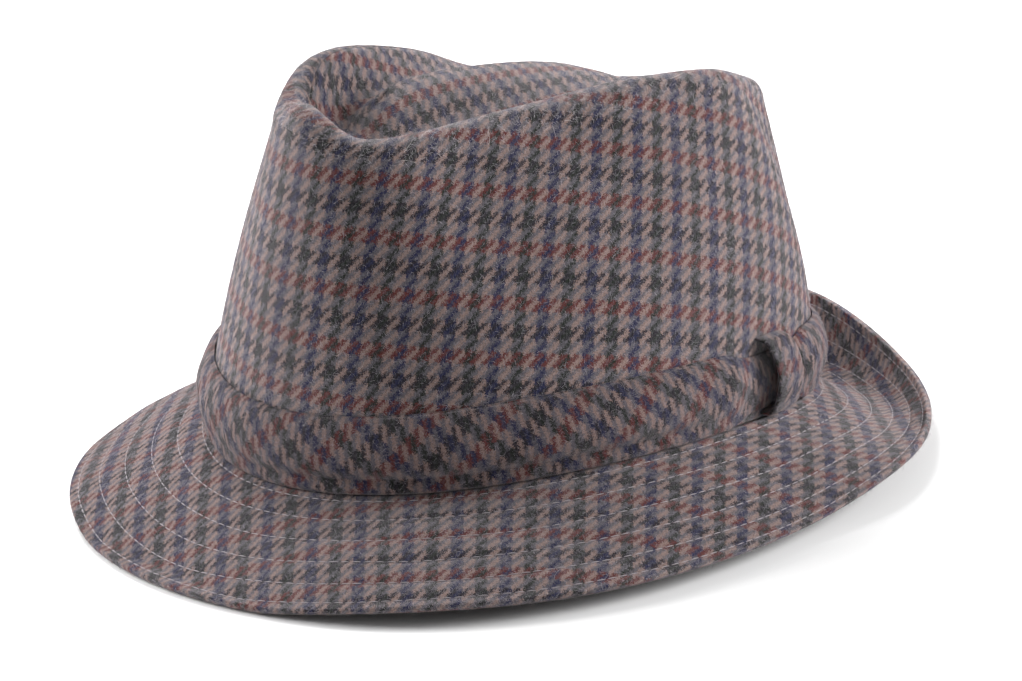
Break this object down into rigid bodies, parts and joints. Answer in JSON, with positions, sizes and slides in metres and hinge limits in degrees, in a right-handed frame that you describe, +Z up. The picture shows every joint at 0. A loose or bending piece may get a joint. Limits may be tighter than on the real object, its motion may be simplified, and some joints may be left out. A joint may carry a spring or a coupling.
{
  "type": "trilby hat",
  "caption": "Short-brimmed cloth trilby in a wool check, with a dented teardrop crown, a padded band through a loop and a stitched brim turned up at the back.",
  "frame": {"origin": "bottom centre of the hat's bounding box, on the surface it rests on", "axes": "-Y towards the front of the hat, +X to the wearer's left, +Z up; it lies as it rests on its brim"},
  "size_m": [0.2366, 0.2788, 0.1314],
  "materials": {
    "crown_cloth": "brushed wool twill in a small two-way check, fuzzy",
    "tip_cloth": "brushed wool twill in a small two-way check, cut on the bias",
    "brim_cloth": "brushed wool twill in a small two-way check, with rows of stitches",
    "band_cloth": "padded wool twill in a small two-way check, cut on the bias",
    "loop_cloth": "folded wool twill in a small two-way check"
  },
  "bodies": {
    "root": {"crown_side": "crown_cloth", "crown_tip": "tip_cloth", "brim": "brim_cloth", "band": "band_cloth", "band_loop": "loop_cloth"}
  },
  "joints": []
}
